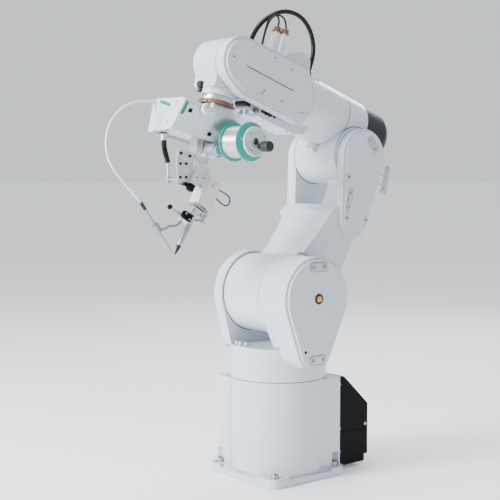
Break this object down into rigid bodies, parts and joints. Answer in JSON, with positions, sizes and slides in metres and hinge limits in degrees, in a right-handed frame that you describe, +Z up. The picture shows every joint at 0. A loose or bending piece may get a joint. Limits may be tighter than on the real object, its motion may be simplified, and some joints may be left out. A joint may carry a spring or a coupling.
{
  "type": "six-axis robot arm with soldering head",
  "caption": "Articulated assembly robot arm on a bolted base, carrying a wire feeder, a solder reel and a soldering iron with a wire guide.",
  "frame": {"origin": "on the floor under the vertical turning axis of the base, on the base's bottom face", "axes": "+Z up along the base axis, +X forward where the arm reaches at rest, +Y to the side of the motor covers"},
  "size_m": [0.729, 0.276, 1.0034],
  "materials": {
    "white_paint": "smooth gloss coat",
    "dark_box_paint": "satin",
    "steel_fittings": "brushed",
    "motor_black": "satin",
    "gear_steel": "ground",
    "belt_drive": "matt",
    "dark_plastic": "fine grain",
    "cable_black": "matt",
    "connector_white": "moulded",
    "machined_aluminium": "machined",
    "clear_tube": "translucent",
    "tip_iron": "burnt",
    "beige_plastic": "moulded",
    "guide_steel": "drawn",
    "teal_plastic": "moulded",
    "solder_wire": "wound wire"
  },
  "bodies": {
    "base": {"base_casting": "white_paint", "connector_box": "dark_box_paint", "connector_panel": "steel_fittings", "j1_motor": "motor_black", "j1_reducer": "gear_steel"},
    "turret": {"turret_casting": "white_paint", "shoulder_motor_cover": "white_paint", "turret_hardware": "steel_fittings", "j2_motor": "motor_black", "j2_reducer": "gear_steel"},
    "lower_arm": {"j2_shafts": "steel_fittings", "lower_arm_casting": "white_paint", "elbow_motor_cover": "white_paint", "elbow_cover_hardware": "steel_fittings", "j3_motor": "motor_black", "j3_belt_drive": "belt_drive", "j3_reducer": "gear_steel"},
    "elbow": {"j3_shafts": "steel_fittings", "elbow_housing": "white_paint", "elbow_rear_cover": "dark_plastic", "j4_motor": "motor_black", "j4_reducer": "gear_steel"},
    "forearm": {"forearm_casting": "white_paint", "forearm_side_cover": "white_paint", "forearm_screws": "steel_fittings", "j5_motor": "motor_black", "j5_belt_drive": "belt_drive", "j5_reducer": "gear_steel", "forearm_underside_cover": "white_paint", "valve_block": "steel_fittings", "cable_connectors": "connector_white", "connector_block": "machined_aluminium", "cable_glands": "steel_fittings", "forearm_loop_cable": "cable_black", "inner_connector_cable": "cable_black", "outer_connector_cable": "cable_black"},
    "wrist": {"wrist_housing": "white_paint", "j6_motor": "motor_black"},
    "tool": {"tool_flange": "machined_aluminium", "feeder_housing": "white_paint", "feeder_covers": "machined_aluminium", "feed_unit": "machined_aluminium", "feed_motor": "machined_aluminium", "reel_spindle": "gear_steel", "iron_bracket": "machined_aluminium", "tube_fittings": "machined_aluminium", "protective_hose": "cable_black", "feed_tube": "clear_tube", "iron_tip": "tip_iron", "iron_barrel": "gear_steel", "iron_clamp": "machined_aluminium", "iron_holder": "beige_plastic", "iron_slide": "machined_aluminium", "guide_arm": "guide_steel", "iron_lead": "cable_black"},
    "pressure_knob": {"pressure_knob": "dark_plastic"},
    "reel": {"solder_reel": "teal_plastic", "solder_winding": "solder_wire", "reel_clamp_knob": "machined_aluminium"},
    "guide_knob": {"guide_adjust_knob": "guide_steel"}
  },
  "joints": [
    {"name": "j1_base_turn", "type": "hinge", "parent": "base", "child": "turret", "pos_m": [0, 0, 0.214], "axis": [0, 0, 1], "range_deg": [-170, 170]},
    {"name": "j2_shoulder", "type": "hinge", "parent": "turret", "child": "lower_arm", "pos_m": [0.03, 0, 0.395], "axis": [0, 1, 0], "range_deg": [-12, 90]},
    {"name": "j3_elbow", "type": "hinge", "parent": "lower_arm", "child": "elbow", "pos_m": [-0.16645, 0, 0.69069], "axis": [0, -1, 0], "range_deg": [-20, 100]},
    {"name": "j4_forearm_roll", "type": "hinge", "parent": "elbow", "child": "forearm", "pos_m": [0.15081, 0, 0.87623], "axis": [0.9426, 0, 0.3338], "range_deg": [-180, 180]},
    {"name": "j5_wrist_bend", "type": "hinge", "parent": "forearm", "child": "wrist", "pos_m": [0.15081, 0, 0.87623], "axis": [0, -1, 0], "range_deg": [-5, 100]},
    {"name": "j6_tool_roll", "type": "hinge", "parent": "wrist", "child": "tool", "pos_m": [0.15081, 0, 0.87623], "axis": [0.2419, 0, -0.9703], "range_deg": [-180, 180]},
    {"name": "pressure_knob_turn", "type": "hinge", "parent": "tool", "child": "pressure_knob", "pos_m": [0.24315, 0.058, 0.77868], "axis": [0, 1, 0], "range_deg": [0, 300]},
    {"name": "reel_spin", "type": "hinge", "parent": "tool", "child": "reel", "pos_m": [0.17156, 0.085, 0.71445], "axis": [0, 1, 0], "continuous": true},
    {"name": "guide_knob_turn", "type": "hinge", "parent": "tool", "child": "guide_knob", "pos_m": [0.25138, 0, 0.56262], "axis": [0.8572, 0, 0.515], "range_deg": [0, 360]}
  ]
}
